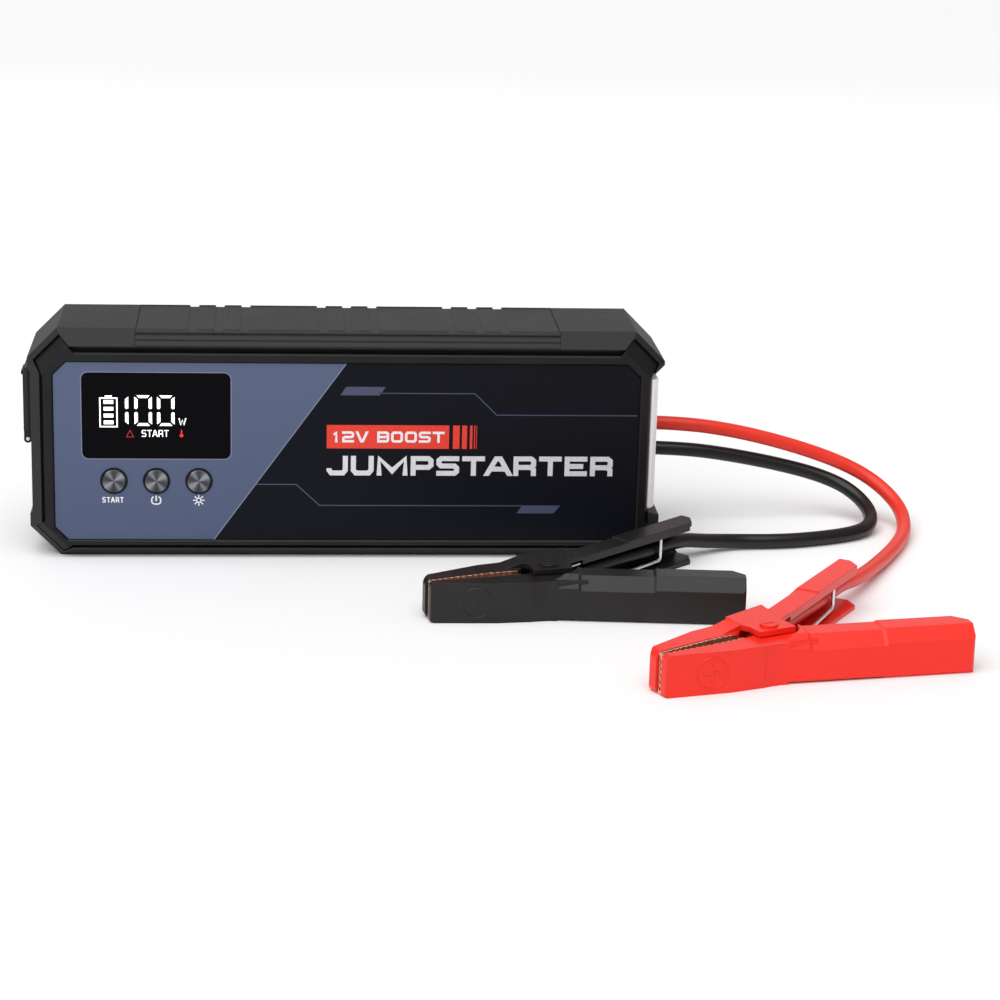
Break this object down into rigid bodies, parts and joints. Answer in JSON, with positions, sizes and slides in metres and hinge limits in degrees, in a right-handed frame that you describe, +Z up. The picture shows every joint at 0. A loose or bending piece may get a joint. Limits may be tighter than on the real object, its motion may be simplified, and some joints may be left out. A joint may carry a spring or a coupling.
{
  "type": "jump starter pack",
  "caption": "Rugged portable jump starter box with display, push buttons, work light and covered ports, and a plug-in lead with two spring clamps.",
  "frame": {"origin": "centre of the box's base, in the plane of the floor it stands on", "axes": "+Z up, the display side faces -Y, +X towards the end with the work light"},
  "size_m": [0.3863, 0.2473, 0.0975],
  "materials": {
    "bumper_rubber": "satin moulded rubber",
    "grip_rubber": "fine grained rubber",
    "bezel_plastic": "satin dark grey",
    "shell_plastic": "fine texture",
    "panel_print": "printed under a satin film, slate blue area at the left",
    "display_glass": "gloss black",
    "label_film": "blank silver film",
    "button_metal": "radially brushed, dark",
    "ring_plastic": "gloss dark ring",
    "lens_white": "milky diffuser",
    "cover_rubber": "soft matt rubber",
    "steel": "plated steel",
    "copper": "bare copper",
    "brass": "gold plated brass",
    "board": "solder mask",
    "cell_foil": "laminated foil",
    "foam": "closed cell foam",
    "relay_plastic": "moulded case",
    "can": "sleeved can",
    "led": "phosphor window",
    "plug_plastic": "blue moulded plug",
    "socket_plastic": "blue moulded socket",
    "boot_rubber": "soft rubber",
    "red_silicone": "silicone jacket",
    "black_silicone": "silicone jacket",
    "red_plastic": "glass filled nylon, satin",
    "black_plastic": "glass filled nylon, satin"
  },
  "bodies": {
    "pack": {"bumper_frame": "bumper_rubber", "top_grip_pad": "grip_rubber", "front_bezel": "bezel_plastic", "front_shell": "shell_plastic", "rear_shell": "shell_plastic", "rear_label": "label_film", "label_plate": "panel_print", "display_window": "display_glass", "light_lens": "lens_white", "button_rings": "ring_plastic", "tact_switches": "steel", "display_module": "relay_plastic", "control_board": "board", "main_board": "board", "board_screws": "steel", "power_relay": "relay_plastic", "capacitors": "can", "battery_foam": "foam", "busbar_positive": "copper", "busbar_negative": "copper", "light_board": "board", "light_leds": "led", "port_panel": "shell_plastic", "usb_a_port": "steel", "usb_c_port": "steel", "port_board": "board", "port_hinge_pin": "steel", "case_screws": "steel", "output_socket": "socket_plastic", "socket_contacts": "brass", "battery_cell_1": "cell_foil", "battery_cell_2": "cell_foil", "battery_cell_3": "cell_foil", "battery_cell_4": "cell_foil", "black_far_lever": "black_plastic", "black_far_jaw": "copper", "black_pivot_pin": "steel", "black_spring": "steel", "black_cable_lug": "copper", "black_cable": "black_silicone", "red_far_lever": "red_plastic", "red_far_jaw": "copper", "red_pivot_pin": "steel", "red_spring": "steel", "red_cable_lug": "copper", "red_cable": "red_silicone"},
    "start_key": {"start_button": "button_metal"},
    "power_key": {"power_button": "button_metal"},
    "light_key": {"light_button": "button_metal"},
    "cover": {"port_cover": "cover_rubber"},
    "plug": {"plug_housing": "plug_plastic", "plug_pins": "brass", "cable_boots": "boot_rubber"},
    "black_jaw": {"black_near_lever": "black_plastic", "black_near_jaw": "copper"},
    "red_jaw": {"red_near_lever": "red_plastic", "red_near_jaw": "copper"}
  },
  "joints": [
    {"name": "start_press", "type": "slide", "parent": "pack", "child": "start_key", "axis": [0, 1, 0], "range_m": [0, 0.0006], "stiffness_N_per_m": 1500, "springref_m": -0.0005},
    {"name": "power_press", "type": "slide", "parent": "pack", "child": "power_key", "axis": [0, 1, 0], "range_m": [0, 0.0006], "stiffness_N_per_m": 1500, "springref_m": -0.0005},
    {"name": "light_press", "type": "slide", "parent": "pack", "child": "light_key", "axis": [0, 1, 0], "range_m": [0, 0.0006], "stiffness_N_per_m": 1500, "springref_m": -0.0005},
    {"name": "cover_hinge", "type": "hinge", "parent": "pack", "child": "cover", "pos_m": [-0.1336, 0, 0.0476], "axis": [0, -1, 0], "range_deg": [0, 120]},
    {"name": "plug_pull", "type": "slide", "parent": "pack", "child": "plug", "axis": [0, 1, 0], "range_m": [0, 0.015], "deforming": ["red_cable", "black_cable"]},
    {"name": "black_jaw_hinge", "type": "hinge", "parent": "pack", "child": "black_jaw", "pos_m": [0.0783, -0.098, 0.01], "axis": [0, 0, 1], "range_deg": [0, 28], "stiffness_Nm_per_rad": 3, "springref_deg": -20.05, "deforming": ["black_spring"]},
    {"name": "red_jaw_hinge", "type": "hinge", "parent": "pack", "child": "red_jaw", "pos_m": [0.1543, -0.1735, 0.01], "axis": [0, 0, 1], "range_deg": [0, 28], "stiffness_Nm_per_rad": 3, "springref_deg": -20.05, "deforming": ["red_spring"]}
  ]
}
